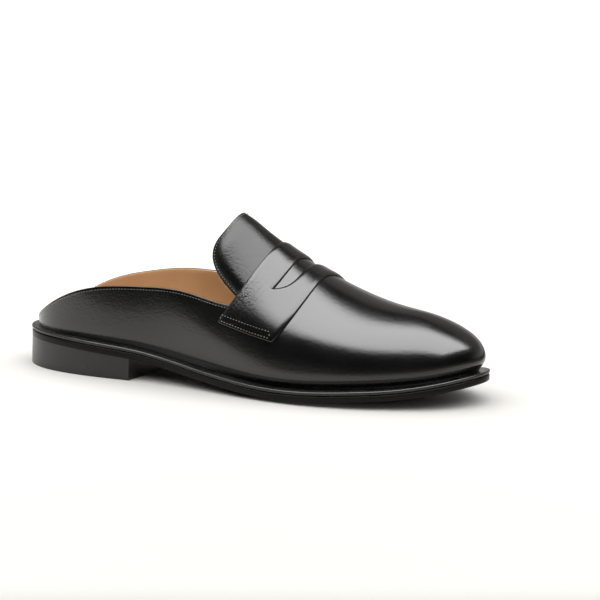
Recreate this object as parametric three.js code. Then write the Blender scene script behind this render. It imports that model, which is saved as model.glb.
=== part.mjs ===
// A penny-loafer mule for the right foot, in millimetres.
// The parts are worked out along the last: x runs from the back of the heel seat to the toe,
// y from the outer (lateral) side to the inner (medial) side, z up from the floor.
import * as THREE from 'three';

// Driving sizes of the last
const LAST_LENGTH = 293.6;
const BALL_WIDTH = 90;
const INSTEP_RISE = 100;
const COLLAR_RISE = 41;
const HEEL_LIFT = 14.9;
const TOE_SPRING = 10;

// Driving sizes of the bottom
const OUTSOLE_EDGE = 3.8;
const OUTSOLE_CROWN = 2.8;
const EDGE_LIFT = 2.1;
const WELT_THICKNESS = 2.2;
const INSOLE_THICKNESS = 2.4;
const SEAT_LEDGE = 3.6;
const FOREPART_LEDGE = 6.6;
const TOE_LEDGE = 4.4;
const HEEL_LENGTH = 82;
const HEEL_FLARE = 0.5;

// Driving sizes of the upper
const UPPER_WALL = 2;
const FOOT_TUCK = 1.5;
const TUCK_HEIGHT = 3.5;
const THROAT_BACK = 164;
const TONGUE_LENGTH = 31;
const STRAP_THICKNESS = 1.3;
const STRAP_FOOT_RISE = 30.3;
const STRAP_FOOT_FALL = 4.2;
const STRAP_BACK_TOP = 168.3;
const STRAP_BACK_FOOT = 146;
const STRAP_BACK_SWEEP = 2.4;
const STRAP_FRONT_TOP = 198.7;
const STRAP_FRONT_FOOT = 184.4;
const STRAP_FRONT_SWEEP = 3.3;
const SLOT_TURN = 0.388;
const SLOT_TIP = 175.4;
const SLOT_BACK = 180.8;
const SLOT_SWEEP = 3.1;
const SLOT_WIDTH = 8.5;
const SLOT_ROUND = 8;
const CLEARANCE = 0.3;

// Feather edge seen from above: place as a share of the last's length, half widths as shares of the ball width
const OUTLINE = [
  { at: 0.020, lateral: 0.150, medial: 0.160 },
  { at: 0.085, lateral: 0.285, medial: 0.287 },
  { at: 0.200, lateral: 0.347, medial: 0.320 },
  { at: 0.330, lateral: 0.345, medial: 0.285 },
  { at: 0.460, lateral: 0.400, medial: 0.300 },
  { at: 0.580, lateral: 0.475, medial: 0.400 },
  { at: 0.690, lateral: 0.500, medial: 0.475 },
  { at: 0.800, lateral: 0.450, medial: 0.450 },
  { at: 0.895, lateral: 0.332, medial: 0.378 },
  { at: 0.965, lateral: 0.204, medial: 0.242 },
];
const TOE_POINT = 0.03;

// Sections at even tenths of the last. heel and toe are the shares of heel lift and toe spring in the height
// of the sole, ridge is the share of the instep rise over the sole, lateral and medial are the shares of the
// collar rise at the topline, bulge swells the foot of the wall, and full squares the section.
const SECTIONS = [
  { heel: 1.00, toe: 0.00, ridge: 0.850, lateral: 0.10, medial: 0.10, bulge: -0.08, full: 1.00 },
  { heel: 0.95, toe: 0.00, ridge: 0.950, lateral: 0.53, medial: 0.56, bulge: -0.02, full: 1.00 },
  { heel: 0.84, toe: 0.00, ridge: 1.050, lateral: 0.79, medial: 0.81, bulge: 0.03, full: 1.00 },
  { heel: 0.68, toe: 0.00, ridge: 1.100, lateral: 0.91, medial: 0.98, bulge: 0.06, full: 1.05 },
  { heel: 0.40, toe: 0.00, ridge: 1.040, lateral: 1.01, medial: 1.08, bulge: 0.09, full: 1.15 },
  { heel: 0.16, toe: 0.00, ridge: 0.870, lateral: 0.99, medial: 1.10, bulge: 0.12, full: 1.32 },
  { heel: 0.01, toe: 0.00, ridge: 0.705, lateral: 1.03, medial: 1.08, bulge: 0.14, full: 1.23 },
  { heel: 0.00, toe: 0.00, ridge: 0.563, lateral: 1.00, medial: 1.00, bulge: 0.15, full: 1.02 },
  { heel: 0.00, toe: 0.18, ridge: 0.447, lateral: 1.00, medial: 1.00, bulge: 0.15, full: 0.93 },
  { heel: 0.00, toe: 0.44, ridge: 0.380, lateral: 1.00, medial: 1.00, bulge: 0.14, full: 0.85 },
  { heel: 0.00, toe: 1.00, ridge: 0.315, lateral: 1.00, medial: 1.00, bulge: 0.09, full: 0.80 },
];

// Back edge of the tongue: angle as a share of the way from the throat to the ridge,
// back as a share of the tongue's length behind the throat
const TONGUE_EDGE = [
  { angle: 0.00, back: 0.00 },
  { angle: 0.035, back: 0.30 },
  { angle: 0.08, back: 0.72 },
  { angle: 0.14, back: 0.94 },
  { angle: 0.22, back: 1.00 },
  { angle: 0.34, back: 0.93 },
  { angle: 0.52, back: 0.80 },
  { angle: 0.75, back: 0.70 },
  { angle: 1.00, back: 0.67 },
];

// Net sizes
const QUARTER_ROWS = 24;
const VAMP_ROWS = 22;
const WALL_SHARES = [0, 0.08, 0.2, 0.42, 0.7, 1];
const TONGUE_ROWS = 5;
const STRAP_ROWS = 3;
const STRAP_END_COLUMNS = 7;
const SLOT_COLUMNS = 11;
const HEEL_ROWS = 18;
const SOLE_ROWS = 56;
const CROWNED_COLUMNS = [-1, -0.9, -0.72, -0.5, -0.25, 0, 0.25, 0.5, 0.72, 0.9, 1];
const FLAT_COLUMNS = [-1, 0, 1];
const RELAX_ROUNDS = 40;

// Splines through rows of numbers
function controlsThrough(rows, closed) {
  let controls = rows.map((row) => row.slice());
  const last = rows.length - 1;
  for (let round = 0; round < RELAX_ROUNDS; round += 1) {
    controls = rows.map((row, i) => {
      if (!closed && (i === 0 || i === last)) return row.slice();
      const before = controls[(i + last) % rows.length];
      const after = controls[(i + 1) % rows.length];
      return row.map((value, k) => (6 * value - before[k] - after[k]) / 4);
    });
  }
  return controls;
}

// Uniform cubic B-spline: four neighbouring control rows weighted by the place between the middle two
function splineAt(controls, place, closed) {
  const count = controls.length;
  const first = closed ? Math.floor(place) : Math.min(Math.max(Math.floor(place), 0), count - 2);
  const f = place - first;
  const weights = [
    (1 - f) ** 3 / 6,
    (3 * f ** 3 - 6 * f ** 2 + 4) / 6,
    (-3 * f ** 3 + 3 * f ** 2 + 3 * f + 1) / 6,
    f ** 3 / 6,
  ];
  const rowAt = (i) => {
    if (closed) return controls[((i % count) + count) % count];
    if (i < 0) return controls[0].map((value, k) => 2 * value - controls[1][k]);
    if (i >= count) return controls[count - 1].map((value, k) => 2 * value - controls[count - 2][k]);
    return controls[i];
  };
  const rows = weights.map((weight, k) => rowAt(first - 1 + k).map((value) => value * weight));
  return rows[0].map((value, k) => value + rows[1][k] + rows[2][k] + rows[3][k]);
}

// The feather edge as one closed curve: heel, lateral side, toe, medial side
const outlineRows = [
  [0, 0],
  ...OUTLINE.map((row) => [row.at, -row.lateral]),
  [1, TOE_POINT],
  ...OUTLINE.map((row) => [row.at, row.medial]).reverse(),
];
const outlineControls = controlsThrough(outlineRows, true);

function featherAt(round) {
  const [along, across] = splineAt(outlineControls, round * outlineRows.length, true);
  return new THREE.Vector2(along * LAST_LENGTH, across * BALL_WIDTH);
}

const sectionNames = Object.keys(SECTIONS[0]);
const sectionControls = controlsThrough(SECTIONS.map((row) => Object.values(row)), false);

function sectionAt(x) {
  const place = THREE.MathUtils.clamp(x / LAST_LENGTH, -0.05, 1.05) * (SECTIONS.length - 1);
  const values = splineAt(sectionControls, place, false);
  return Object.fromEntries(sectionNames.map((name, k) => [name, values[k]]));
}

// Height of the welt's top, where the upper stands
const BALL_TOP = EDGE_LIFT + OUTSOLE_EDGE + CLEARANCE + WELT_THICKNESS;

function soleTop(x) {
  const section = sectionAt(x);
  return BALL_TOP + HEEL_LIFT * section.heel + TOE_SPRING * section.toe;
}

// The ridge line stops short of heel and toe, and the ribs fan out round its ends
const RIDGE_START = 0.12 * LAST_LENGTH;
const RIDGE_END = 0.865 * LAST_LENGTH;
const RIDGE_SOFTNESS = 0.05 * LAST_LENGTH;

function ridgePlace(x) {
  const ease = (value) => RIDGE_SOFTNESS * Math.log1p(Math.exp(value / RIDGE_SOFTNESS));
  return RIDGE_START + ease(x - RIDGE_START) - ease(x - RIDGE_END);
}

// Sideways place of the ridge: it follows the middle of the foot and swings in over the instep
function ridgeSide(x) {
  return -0.033 * BALL_WIDTH * Math.exp(-(((x / LAST_LENGTH - 0.68) / 0.22) ** 2));
}

// A point of the last: hoop 0 at the heel to 1 at the toe, angle 0 at the lateral edge over 90 to 180 degrees.
// The rib swells by the bulge, s c^3 being greatest at 30 degrees, and its foot is drawn in to the feather line.
const BULGE_PEAK = 0.325;

function lastPoint(hoop, degrees) {
  const lateral = featherAt(hoop / 2);
  const medial = featherAt(1 - hoop / 2);
  const middle = ridgePlace((lateral.x + medial.x) / 2);
  const foot = degrees <= 90 ? lateral : medial;
  const angle = THREE.MathUtils.degToRad(Math.min(degrees, 180 - degrees));
  const sine = Math.max(Math.sin(angle), 0);
  const cosine = Math.max(Math.cos(angle), 0);
  const own = sectionAt(foot.x);
  const reach = cosine * (1 + own.bulge * sine * cosine ** 3 / BULGE_PEAK);
  const ridgePoint = new THREE.Vector2(middle, ridgeSide(middle));
  const place = ridgePoint.clone().lerp(foot, reach);
  const rise = INSTEP_RISE * sectionAt(place.x).ridge * sine ** own.full;
  const tuck = FOOT_TUCK * Math.exp(-((rise / TUCK_HEIGHT) ** 2));
  place.addScaledVector(foot.clone().sub(ridgePoint).normalize(), -tuck);
  return new THREE.Vector3(place.x, place.y, soleTop(place.x) + rise);
}

// The hoop that stands at a place along the last
function hoopAt(x) {
  let low = 0;
  let high = 1;
  for (let step = 0; step < 30; step += 1) {
    const middle = (low + high) / 2;
    if (featherAt(middle / 2).x + featherAt(1 - middle / 2).x < 2 * x) low = middle;
    else high = middle;
  }
  return (low + high) / 2;
}

// The angle at which a hoop reaches a rise over the sole
function angleAtRise(hoop, rise) {
  const section = sectionAt(featherAt(hoop / 2).x);
  const share = Math.min(rise / (INSTEP_RISE * section.ridge), 1);
  return THREE.MathUtils.radToDeg(Math.asin(share ** (1 / section.full)));
}

// The angle at which a hoop crosses the topline of its side
function toplineAngle(hoop, side) {
  return angleAtRise(hoop, COLLAR_RISE * sectionAt(featherAt(hoop / 2).x)[side]);
}

// A net of quads over hoops and angles, from a grid of [hoop, angle] pairs
function addGrid(net, grid) {
  for (let i = 0; i + 1 < grid.length; i += 1) {
    for (let j = 0; j + 1 < grid[i].length; j += 1) {
      net.push([grid[i][j], grid[i + 1][j], grid[i + 1][j + 1], grid[i][j + 1]]);
    }
  }
}

function evenly(count, make) {
  return Array.from({ length: count + 1 }, (unused, i) => make(i / count));
}

// Welds the corners of faces that lie together and drops the faces that lose their area
function weld(faces) {
  const places = new Map();
  const points = [];
  const indexOf = (point) => {
    const key = point.toArray().map((value) => Math.round(value * 2000)).join(' ');
    if (!places.has(key)) {
      places.set(key, points.length);
      points.push(point);
    }
    return places.get(key);
  };
  const triangles = [];
  for (const [a, b, c, d] of faces.map((face) => face.map(indexOf))) {
    for (const triangle of [[a, b, c], [a, c, d]]) {
      if (new Set(triangle).size === 3) triangles.push(triangle);
    }
  }
  return { points, triangles };
}

function meshNormals(points, triangles) {
  const normals = points.map(() => new THREE.Vector3());
  for (const [a, b, c] of triangles) {
    const along = points[b].clone().sub(points[a]);
    const area = along.cross(points[c].clone().sub(points[a]));
    for (const i of [a, b, c]) normals[i].add(area);
  }
  return normals.map((normal) => normal.normalize());
}

// A closed wall: one skin moved out from the net, one moved in, and a rim along each open edge
function wallOf(faces, outward, inward) {
  const { points, triangles } = weld(faces);
  const normals = meshNormals(points, triangles);
  const count = points.length;
  const edges = new Map();
  for (const [a, b, c] of triangles) {
    for (const [from, to] of [[a, b], [b, c], [c, a]]) edges.set(`${from} ${to}`, [from, to]);
  }
  const all = triangles.slice();
  for (const [a, b, c] of triangles) all.push([a + count, c + count, b + count]);
  for (const [from, to] of edges.values()) {
    if (edges.has(`${to} ${from}`)) continue;
    all.push([to, from, from + count]);
    all.push([to, from + count, to + count]);
  }
  const outer = points.map((point, i) => point.clone().addScaledVector(normals[i], outward));
  const inner = points.map((point, i) => point.clone().addScaledVector(normals[i], -inward));
  return geometryOf([...outer, ...inner], all);
}

function geometryOf(points, triangles) {
  const geometry = new THREE.BufferGeometry();
  geometry.setFromPoints(points);
  geometry.setIndex(triangles.flat());
  geometry.computeVertexNormals();
  return geometry;
}

// The feather edge moved out by a ledge, or in by a negative one
function edgeAt(round, ledge) {
  const step = 0.002;
  const along = featherAt(round + step).sub(featherAt(round - step)).normalize();
  return featherAt(round).add(new THREE.Vector2(along.y, -along.x).multiplyScalar(ledge));
}

// Width of the sole's ledge: narrow round the seat, wide round the forepart, narrower again at the toe
function ledgeAt(x) {
  const forward = 1 / (1 + Math.exp(-(x / LAST_LENGTH - 0.44) / 0.06));
  const atToe = THREE.MathUtils.smoothstep(x, 0.85 * LAST_LENGTH, LAST_LENGTH);
  return SEAT_LEDGE + (FOREPART_LEDGE - SEAT_LEDGE) * forward + (TOE_LEDGE - FOREPART_LEDGE) * atToe;
}

function soleEdge(round, extra = 0) {
  return edgeAt(round, ledgeAt(featherAt(round).x) + extra);
}

// Rows across the bottom from the lateral edge to the medial edge; share runs from -1 to 1
function acrossSole(edge, hoop, share, heightAt) {
  const lateral = edge(hoop / 2);
  const medial = edge(1 - hoop / 2);
  const place = lateral.lerp(medial, (share + 1) / 2);
  return new THREE.Vector3(place.x, place.y, heightAt(place.x, share));
}

// A plate between two heights, closed by a wall round its edge
function plateOf({ topEdge, footEdge, topAt, footAt, hoops, columns }) {
  const faces = [];
  const top = hoops.map((hoop) => columns.map((share) => acrossSole(topEdge, hoop, share, topAt)));
  const foot = hoops.map((hoop) => columns.map((share) => acrossSole(footEdge, hoop, share, footAt)));
  const last = columns.length - 1;
  addGrid(faces, top);
  addGrid(faces, foot.map((row) => row.slice().reverse()));
  addGrid(faces, foot.map((row, i) => [row[0], top[i][0]]));
  addGrid(faces, top.map((row, i) => [row[last], foot[i][last]]));
  addGrid(faces, [top[top.length - 1], foot[foot.length - 1]]);
  const { points, triangles } = weld(faces);
  return geometryOf(points, triangles);
}

// Rows closer together at heel and toe, where the outline turns
const wholeLength = evenly(SOLE_ROWS, (share) => (1 - Math.cos(Math.PI * share)) / 2);

// Heights of the bottom layers
function outsoleTop(x) {
  return soleTop(x) - WELT_THICKNESS - CLEARANCE;
}

// The outsole is convex across between the waist and the toe, and is worn flat where it meets the floor
function outsoleFoot(x, share) {
  const forward = THREE.MathUtils.smoothstep(x, HEEL_LENGTH, 0.5 * LAST_LENGTH);
  const atToe = THREE.MathUtils.smoothstep(x, 0.78 * LAST_LENGTH, LAST_LENGTH);
  const crown = OUTSOLE_CROWN * forward * (1 - atToe) * (1 - share ** 2);
  return Math.max(outsoleTop(x) - OUTSOLE_EDGE - crown, 0);
}

function outsoleGeometry() {
  return plateOf({
    topEdge: soleEdge,
    footEdge: soleEdge,
    topAt: outsoleTop,
    footAt: outsoleFoot,
    hoops: wholeLength,
    columns: CROWNED_COLUMNS,
  });
}

// The heel stands under the seat, a flat face on the floor, and ends in a straight breast
function heelGeometry() {
  return plateOf({
    topEdge: soleEdge,
    footEdge: (round) => soleEdge(round, HEEL_FLARE),
    topAt: (x) => outsoleTop(x) - OUTSOLE_EDGE - CLEARANCE,
    footAt: () => 0,
    hoops: evenly(HEEL_ROWS, (share) => hoopAt(HEEL_LENGTH) * (1 - Math.cos(Math.PI * share / 2))),
    columns: FLAT_COLUMNS,
  });
}

// The welt is a flat ring from the sole's edge to the inner face of the upper
function weltGeometry() {
  const rounds = evenly(2 * SOLE_ROWS, (share) => share);
  const lift = (place, height) => new THREE.Vector3(place.x, place.y, height);
  const ring = rounds.map((round) => {
    const outer = soleEdge(round);
    const inner = edgeAt(round, -UPPER_WALL - FOOT_TUCK);
    const corners = [[outer, 0], [outer, WELT_THICKNESS], [inner, WELT_THICKNESS], [inner, 0], [outer, 0]];
    return corners.map(([place, height]) => lift(place, soleTop(place.x) - WELT_THICKNESS + height));
  });
  const faces = [];
  addGrid(faces, ring);
  const { points, triangles } = weld(faces);
  return geometryOf(points, triangles);
}

// The insole lies inside the welt and the upper, on the outsole
function insoleGeometry() {
  return plateOf({
    topEdge: (round) => edgeAt(round, -UPPER_WALL - FOOT_TUCK - 3 * CLEARANCE),
    footEdge: (round) => edgeAt(round, -UPPER_WALL - FOOT_TUCK - CLEARANCE),
    topAt: (x) => soleTop(x) + INSOLE_THICKNESS,
    footAt: (x) => outsoleTop(x) + CLEARANCE,
    hoops: wholeLength,
    columns: FLAT_COLUMNS,
  });
}

// The upper stands a hair above the welt
function upperPoint(hoop, angle) {
  return lastPoint(hoop, angle).add(new THREE.Vector3(0, 0, CLEARANCE));
}

// Angles across a hoop: turn runs 0 to 1 from the lateral throat to the ridge and on to 2 at the medial throat
function angleAtTurn(turn, throatAngles) {
  if (turn <= 1) return throatAngles.lateral + (90 - throatAngles.lateral) * turn;
  return 90 + (90 - throatAngles.medial) * (turn - 1);
}

// The upper: two quarters, the vamp and the tongue share one net
function upperGeometry() {
  const throat = hoopAt(THROAT_BACK);
  const atThroat = { lateral: toplineAngle(throat, 'lateral'), medial: toplineAngle(throat, 'medial') };
  const evenThroat = (atThroat.lateral + atThroat.medial) / 2;
  const tongueRows = TONGUE_EDGE.map((row) => [row.angle, row.back]);
  const mirrored = tongueRows.slice(0, -1).reverse().map(([angle, back]) => [2 - angle, back]);
  const edgeControls = controlsThrough([...tongueRows, ...mirrored], false);
  const tongueColumns = evenly(4 * (TONGUE_EDGE.length - 1), (share) => {
    const [turn, back] = splineAt(edgeControls, share * (edgeControls.length - 1), false);
    return { turn, hoop: hoopAt(THROAT_BACK - TONGUE_LENGTH * back) };
  });
  const wall = (hoop, side, top) => {
    const points = WALL_SHARES.map((share) => upperPoint(hoop, side === 'lateral' ? top * share : 180 - top * share));
    return side === 'lateral' ? points : points.reverse();
  };
  const faces = [];
  const quarterHoops = evenly(QUARTER_ROWS, (share) => throat * (0.6 * share + 0.4 * share ** 2));
  for (const side of ['lateral', 'medial']) {
    addGrid(faces, quarterHoops.map((hoop) => wall(hoop, side, toplineAngle(hoop, side))));
  }
  // Towards the toe the two sides of the net grow alike, so that they meet on the toe's middle rib
  addGrid(faces, evenly(VAMP_ROWS, (share) => {
    const hoop = throat + (1 - throat) * (1.25 * share - 0.25 * share ** 2);
    const angles = {
      lateral: THREE.MathUtils.lerp(atThroat.lateral, evenThroat, share),
      medial: THREE.MathUtils.lerp(atThroat.medial, evenThroat, share),
    };
    const crest = tongueColumns.slice(1, -1).map(({ turn }) => upperPoint(hoop, angleAtTurn(turn, angles)));
    return [...wall(hoop, 'lateral', angles.lateral), ...crest, ...wall(hoop, 'medial', angles.medial)];
  }));
  addGrid(faces, evenly(TONGUE_ROWS, (share) => tongueColumns.map((column) => (
    upperPoint(THREE.MathUtils.lerp(column.hoop, throat, share), angleAtTurn(column.turn, atThroat))
  ))));
  return wallOf(faces, 0, UPPER_WALL);
}

// A point of the strap: turn runs 0 to 1 from its lateral foot to the ridge and on to 2 at its medial foot
function strapPoint(x, turn) {
  const hoop = hoopAt(x);
  const forward = (x - STRAP_BACK_FOOT) / (STRAP_FRONT_FOOT - STRAP_BACK_FOOT);
  const foot = angleAtRise(hoop, STRAP_FOOT_RISE - STRAP_FOOT_FALL * forward);
  return upperPoint(hoop, angleAtTurn(turn, { lateral: foot, medial: foot }));
}

// The saddle strap lies over the upper, with a lens-shaped slot between a back band and a front band
function strapGeometry() {
  const climb = (turn, start, sweep) => {
    const share = (Math.min(turn, 2 - turn) - start) / (1 - start);
    return 1 - (1 - Math.max(share, 0)) ** sweep;
  };
  const back = (turn) => THREE.MathUtils.lerp(STRAP_BACK_FOOT, STRAP_BACK_TOP, climb(turn, 0, STRAP_BACK_SWEEP));
  const front = (turn) => THREE.MathUtils.lerp(STRAP_FRONT_FOOT, STRAP_FRONT_TOP, climb(turn, 0, STRAP_FRONT_SWEEP));
  const tipShare = (SLOT_TIP - back(SLOT_TURN)) / (front(SLOT_TURN) - back(SLOT_TURN));
  const slotBack = (turn) => {
    const open = climb(turn, SLOT_TURN, SLOT_SWEEP);
    if (open === 0) return THREE.MathUtils.lerp(back(turn), front(turn), tipShare);
    return THREE.MathUtils.lerp(SLOT_TIP, SLOT_BACK, open);
  };
  const slotFront = (turn) => slotBack(turn) + SLOT_WIDTH * climb(turn, SLOT_TURN, SLOT_ROUND);
  const half = [
    ...evenly(STRAP_END_COLUMNS, (share) => SLOT_TURN * share).slice(0, -1),
    ...evenly(SLOT_COLUMNS, (share) => SLOT_TURN + (1 - SLOT_TURN) * (0.4 * share + 0.6 * share ** 2)),
  ];
  const turns = [...half, ...half.slice(0, -1).reverse().map((turn) => 2 - turn)];
  const band = (rear, fore) => evenly(STRAP_ROWS, (share) => (
    turns.map((turn) => strapPoint(THREE.MathUtils.lerp(rear(turn), fore(turn), share), turn))
  ));
  const faces = [];
  addGrid(faces, band(back, slotBack));
  addGrid(faces, band(slotFront, front));
  return wallOf(faces, CLEARANCE + STRAP_THICKNESS, -CLEARANCE);
}

// Finishes
const blackCalf = { color: 0x0d0d0e, roughness: 0.28, metalness: 0 };
const blackEdge = { color: 0x161616, roughness: 0.45, metalness: 0 };
const tanLining = { color: 0xb57f4c, roughness: 0.6, metalness: 0 };

const shoe = new THREE.Group();

function addPiece(name, geometry, finish) {
  const mesh = new THREE.Mesh(geometry, new THREE.MeshStandardMaterial(finish));
  mesh.name = name;
  shoe.add(mesh);
}

addPiece('outsole', outsoleGeometry(), blackEdge);
addPiece('heel', heelGeometry(), blackEdge);
addPiece('welt', weltGeometry(), blackEdge);
addPiece('insole', insoleGeometry(), tanLining);
addPiece('upper', upperGeometry(), blackCalf);
addPiece('saddle_strap', strapGeometry(), blackCalf);

// The origin is on the floor under the middle of the shoe
const box = new THREE.Box3().setFromObject(shoe);
const middle = box.getCenter(new THREE.Vector3());
shoe.position.set(-middle.x, -middle.y, 0);

export default shoe;
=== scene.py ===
import math

import bpy
import numpy as np
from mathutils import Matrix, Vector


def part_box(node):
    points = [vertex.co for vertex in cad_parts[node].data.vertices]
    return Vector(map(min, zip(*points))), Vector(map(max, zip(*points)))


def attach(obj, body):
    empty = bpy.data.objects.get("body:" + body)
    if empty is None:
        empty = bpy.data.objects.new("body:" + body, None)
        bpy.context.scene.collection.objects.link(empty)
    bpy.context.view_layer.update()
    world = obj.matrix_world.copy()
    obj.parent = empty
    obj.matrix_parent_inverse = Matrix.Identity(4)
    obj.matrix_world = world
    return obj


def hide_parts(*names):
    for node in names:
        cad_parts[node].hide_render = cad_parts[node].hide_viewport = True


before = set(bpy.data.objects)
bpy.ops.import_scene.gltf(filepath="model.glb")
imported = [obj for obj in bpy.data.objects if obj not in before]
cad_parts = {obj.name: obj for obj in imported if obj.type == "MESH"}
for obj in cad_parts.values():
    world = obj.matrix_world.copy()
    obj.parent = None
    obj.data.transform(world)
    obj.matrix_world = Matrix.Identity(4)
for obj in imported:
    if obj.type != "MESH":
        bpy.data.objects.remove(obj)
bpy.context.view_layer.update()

# Outsole
# One piece of sole leather, 4 mm thick at its edge, cut to the last's outline with a ledge for the welt.
# It is convex across under the ball, springs up at the toe, and its side is blacked, waxed and burnished; its
# colours are kept darker than the heel's as painted shade along the edge.
LAST_LENGTH = 0.2936
BALL_WIDTH = 0.090
HEEL_LIFT = 0.0149
TOE_SPRING = 0.010
EDGE_LIFT = 0.0021
OUTSOLE_EDGE = 0.0038
OUTSOLE_CROWN = 0.0028
WELT_THICKNESS = 0.0022
LAYER_GAP = 0.0003
SEAT_LEDGE = 0.0036
FOREPART_LEDGE = 0.0066
TOE_LEDGE = 0.0044
HEEL_LENGTH = 0.082
EDGE_ROUND = 0.0007
RELAX_ROUNDS = 40

# Feather edge from above: place as a share of the last's length, half widths as shares of the ball width
OUTLINE = np.array([
    # place, lateral, medial
    (0.020, 0.150, 0.160),
    (0.085, 0.285, 0.287),
    (0.200, 0.347, 0.320),
    (0.330, 0.345, 0.285),
    (0.460, 0.400, 0.300),
    (0.580, 0.475, 0.400),
    (0.690, 0.500, 0.475),
    (0.800, 0.450, 0.450),
    (0.895, 0.332, 0.378),
    (0.965, 0.204, 0.242),
])
TOE_POINT = 0.03

# Sections at even tenths of the last: shares of heel lift and toe spring in the sole's height, share of the
# instep rise at the ridge, shares of the collar rise at the two toplines, swell at the wall's foot, fullness
SECTION_NAMES = ("heel", "toe", "ridge", "lateral", "medial", "bulge", "full")
SECTIONS = np.array([
    (1.00, 0.00, 0.850, 0.10, 0.10, -0.08, 1.00),
    (0.95, 0.00, 0.950, 0.53, 0.56, -0.02, 1.00),
    (0.84, 0.00, 1.050, 0.79, 0.81, 0.03, 1.00),
    (0.68, 0.00, 1.100, 0.91, 0.98, 0.06, 1.05),
    (0.40, 0.00, 1.040, 1.01, 1.08, 0.09, 1.15),
    (0.16, 0.00, 0.870, 0.99, 1.10, 0.12, 1.32),
    (0.01, 0.00, 0.705, 1.03, 1.08, 0.14, 1.23),
    (0.00, 0.00, 0.563, 1.00, 1.00, 0.15, 1.02),
    (0.00, 0.18, 0.447, 1.00, 1.00, 0.15, 0.93),
    (0.00, 0.44, 0.380, 1.00, 1.00, 0.14, 0.85),
    (0.00, 1.00, 0.315, 1.00, 1.00, 0.09, 0.80),
])


def spline_through(rows, closed):
    """Control rows of the uniform cubic B-spline that passes through rows: each is (6 row - neighbours) / 4,
    relaxed until it settles."""
    controls = rows.copy()
    for _ in range(RELAX_ROUNDS):
        moved = (6 * rows - np.roll(controls, 1, axis=0) - np.roll(controls, -1, axis=0)) / 4
        if not closed:
            moved[[0, -1]] = rows[[0, -1]]
        controls = moved
    return controls


def spline_at(controls, place, closed):
    """Rows of the B-spline at each place, counted in control rows: the four neighbours weighted by the cubic
    basis functions of the place between the middle two."""
    count = len(controls)
    place = np.asarray(place, float)
    first = np.floor(place).astype(int)
    if closed:
        ends = controls
        index = [(first + step) % count for step in (-1, 0, 1, 2)]
    else:
        first = np.clip(first, 0, count - 2)
        ends = np.vstack([2 * controls[0] - controls[1], controls, 2 * controls[-1] - controls[-2]])
        index = [first + step for step in (0, 1, 2, 3)]
    f = (place - first)[..., None]
    weights = [(1 - f) ** 3 / 6, (3 * f ** 3 - 6 * f ** 2 + 4) / 6,
               (-3 * f ** 3 + 3 * f ** 2 + 3 * f + 1) / 6, f ** 3 / 6]
    return sum(weight * ends[i] for weight, i in zip(weights, index))


outline_rows = np.vstack([
    [[0, 0]],
    OUTLINE[:, [0, 1]] * [1, -1],
    [[1, TOE_POINT]],
    OUTLINE[::-1, [0, 2]],
])
outline_controls = spline_through(outline_rows * [LAST_LENGTH, BALL_WIDTH], True)
section_controls = spline_through(SECTIONS, False)


def feather_edge(turn):
    """The feather edge, turn 0 to 1 from the heel over the lateral side, the toe and the medial side."""
    return spline_at(outline_controls, turn * len(outline_controls), True)


def edge_out(turn, ledge):
    """The feather edge moved out along its own normal by ledge, or in by a negative one."""
    along = feather_edge(turn + 0.002) - feather_edge(turn - 0.002)
    along /= np.linalg.norm(along, axis=-1, keepdims=True)
    normal = np.stack([along[..., 1], -along[..., 0]], axis=-1)
    return feather_edge(turn) + normal * np.asarray(ledge)[..., None]


def section_at(x, name):
    """One column of the sections' table at places x along the last."""
    place = np.clip(x / LAST_LENGTH, -0.05, 1.05) * (len(SECTIONS) - 1)
    column = SECTION_NAMES.index(name)
    return spline_at(section_controls[:, [column]], place, False)[..., 0]


def sole_top(x):
    """Height of the welt's top: the ball's height, plus the heel lift and toe spring by their shares."""
    ball = EDGE_LIFT + OUTSOLE_EDGE + LAYER_GAP + WELT_THICKNESS
    return ball + HEEL_LIFT * section_at(x, "heel") + TOE_SPRING * section_at(x, "toe")


def outsole_top(x):
    """Height of the outsole's top, under the welt."""
    return sole_top(x) - WELT_THICKNESS - LAYER_GAP


def smooth_step(x, low, high):
    """0 up to low, 1 from high on, and s^2 (3 - 2 s) between them."""
    share = np.clip((x - low) / (high - low), 0, 1)
    return share ** 2 * (3 - 2 * share)


def outsole_foot(x, share):
    """Height of the outsole's underside at a share across from -1 to 1: a parabola of the crown's depth
    between the waist and the toe, cut flat by the floor."""
    forward = smooth_step(x, HEEL_LENGTH, 0.5 * LAST_LENGTH)
    at_toe = smooth_step(x, 0.78 * LAST_LENGTH, LAST_LENGTH)
    crown = OUTSOLE_CROWN * forward * (1 - at_toe) * (1 - share ** 2)
    return np.maximum(outsole_top(x) - OUTSOLE_EDGE - crown, 0)


def ledge_at(x):
    """Width of the sole's ledge: narrow round the seat, wide at the forepart, narrower again at the toe."""
    forward = 1 / (1 + np.exp(-(x / LAST_LENGTH - 0.44) / 0.06))
    at_toe = smooth_step(x, 0.85 * LAST_LENGTH, LAST_LENGTH)
    return SEAT_LEDGE + (FOREPART_LEDGE - SEAT_LEDGE) * forward + (TOE_LEDGE - FOREPART_LEDGE) * at_toe


def sole_edge(turn, extra=0.0):
    """The sole's outline, moved out by extra."""
    return edge_out(turn, ledge_at(feather_edge(turn)[..., 0]) + extra)


def outsole_edge(turn, inset, height):
    """The sole's outline drawn in by inset, but at the seat the lower half stays square to meet the heel."""
    seat = 1 - smooth_step(feather_edge(turn)[..., 0], HEEL_LENGTH - 0.0005, HEEL_LENGTH + 0.001)
    return sole_edge(turn, -inset * (1 - seat * (height < 0.5)))


around = sole_edge(np.linspace(0, 1, 2000))
outsole_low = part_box("outsole")[0]
PLACE = np.array([outsole_low.x - around[:, 0].min(), outsole_low.y - around[:, 1].min(), 0])


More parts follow.
